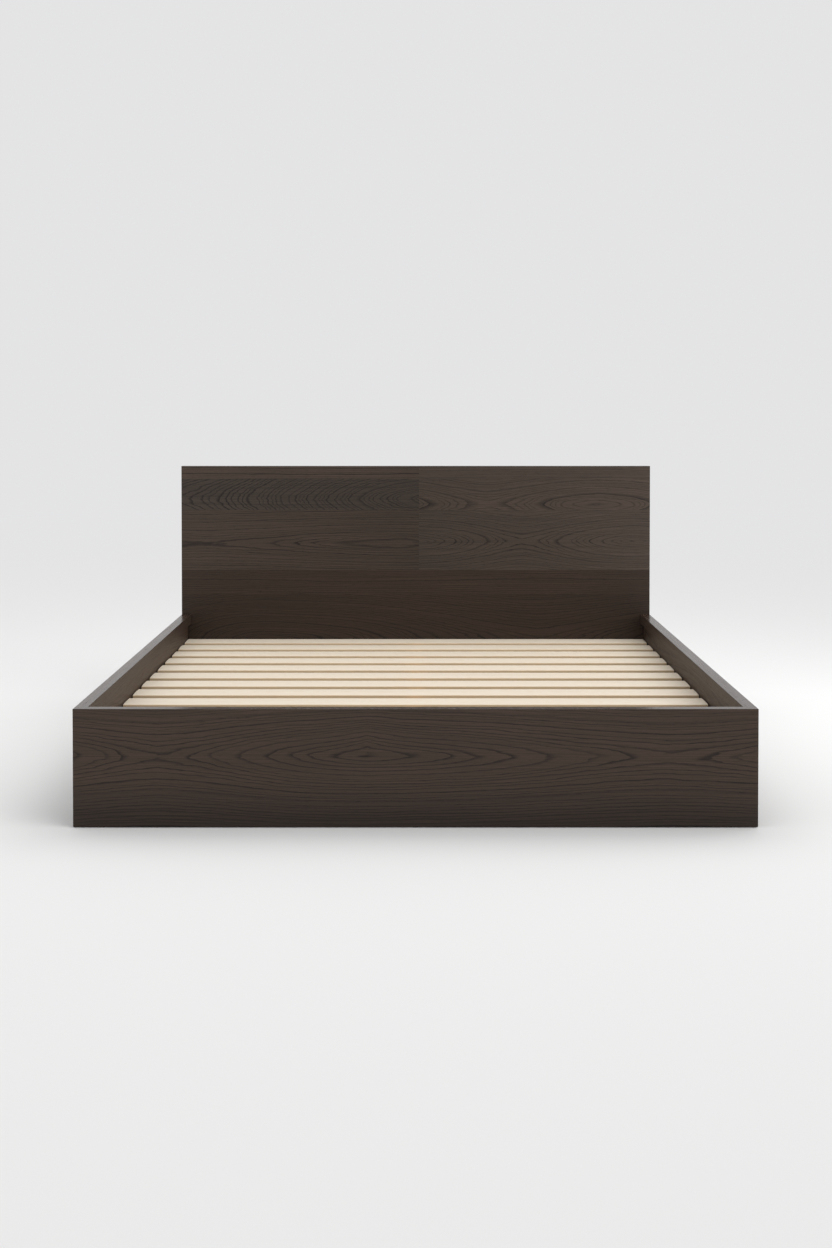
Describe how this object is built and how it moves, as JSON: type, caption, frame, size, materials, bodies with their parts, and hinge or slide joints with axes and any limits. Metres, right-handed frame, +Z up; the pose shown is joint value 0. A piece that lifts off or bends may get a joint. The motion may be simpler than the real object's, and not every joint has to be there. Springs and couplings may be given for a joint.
{
  "type": "platform bed frame",
  "caption": "Low dark wooden platform bed frame with a plain flat headboard, box sides down to the floor and pale recessed slats across.",
  "frame": {"origin": "on the floor under the middle of the frame", "axes": "+Z up, +Y from the footboard to the headboard, +X to the right of someone standing at the foot"},
  "size_m": [1.7, 2.106, 0.835],
  "materials": {
    "dark_oak": "espresso stain under satin lacquer",
    "pale_birch": "planed and sanded, clear matt lacquer",
    "raw_pine": "planed, untreated",
    "beech": "turned, untreated",
    "zinc_steel": "bright zinc plated",
    "brass": "machined",
    "black_plastic": "moulded, fine grain"
  },
  "bodies": {
    "frame": {"footboard": "dark_oak", "footboard_lip": "dark_oak", "side_rail_left": "dark_oak", "rail_lip_left": "dark_oak", "slat_ledge_left": "dark_oak", "side_rail_right": "dark_oak", "rail_lip_right": "dark_oak", "slat_ledge_right": "dark_oak", "headboard_board_1_left": "dark_oak", "headboard_board_1_right": "dark_oak", "headboard_board_2_left": "dark_oak", "headboard_board_2_right": "dark_oak", "headboard_board_3_left": "dark_oak", "headboard_board_3_right": "dark_oak", "headboard_board_4": "dark_oak", "headboard_board_5": "dark_oak", "headboard_board_6": "dark_oak", "slat_01": "pale_birch", "slat_02": "pale_birch", "slat_03": "pale_birch", "slat_04": "pale_birch", "slat_05": "pale_birch", "slat_06": "pale_birch", "slat_07": "pale_birch", "slat_08": "pale_birch", "slat_09": "pale_birch", "slat_10": "pale_birch", "slat_11": "pale_birch", "slat_12": "pale_birch", "mid_beam": "raw_pine", "beam_shoe_foot_end": "zinc_steel", "centre_leg_foot_end": "raw_pine", "leg_tee_nut_foot_end": "zinc_steel", "beam_shoe_head_end": "zinc_steel", "centre_leg_head_end": "raw_pine", "leg_tee_nut_head_end": "zinc_steel", "corner_angle_foot_end_left": "zinc_steel", "corner_angle_foot_end_right": "zinc_steel", "corner_angle_head_end_left": "zinc_steel", "corner_angle_head_end_right": "zinc_steel", "corner_bolts": "zinc_steel", "threaded_inserts": "brass", "corner_dowels": "beech", "slat_pegs": "beech", "ledge_screws": "zinc_steel", "beam_shoe_screws": "zinc_steel", "leg_hanger_screws": "zinc_steel", "floor_glides": "black_plastic"},
    "leveller_foot_end": {"levelling_stem_foot_end": "zinc_steel", "levelling_pad_foot_end": "black_plastic"},
    "leveller_head_end": {"levelling_stem_head_end": "zinc_steel", "levelling_pad_head_end": "black_plastic"}
  },
  "joints": [
    {"name": "leveller_slide_foot_end", "type": "slide", "parent": "frame", "child": "leveller_foot_end", "axis": [0, 0, -1], "range_m": [-0.008, 0.012]},
    {"name": "leveller_slide_head_end", "type": "slide", "parent": "frame", "child": "leveller_head_end", "axis": [0, 0, -1], "range_m": [-0.008, 0.012]}
  ]
}
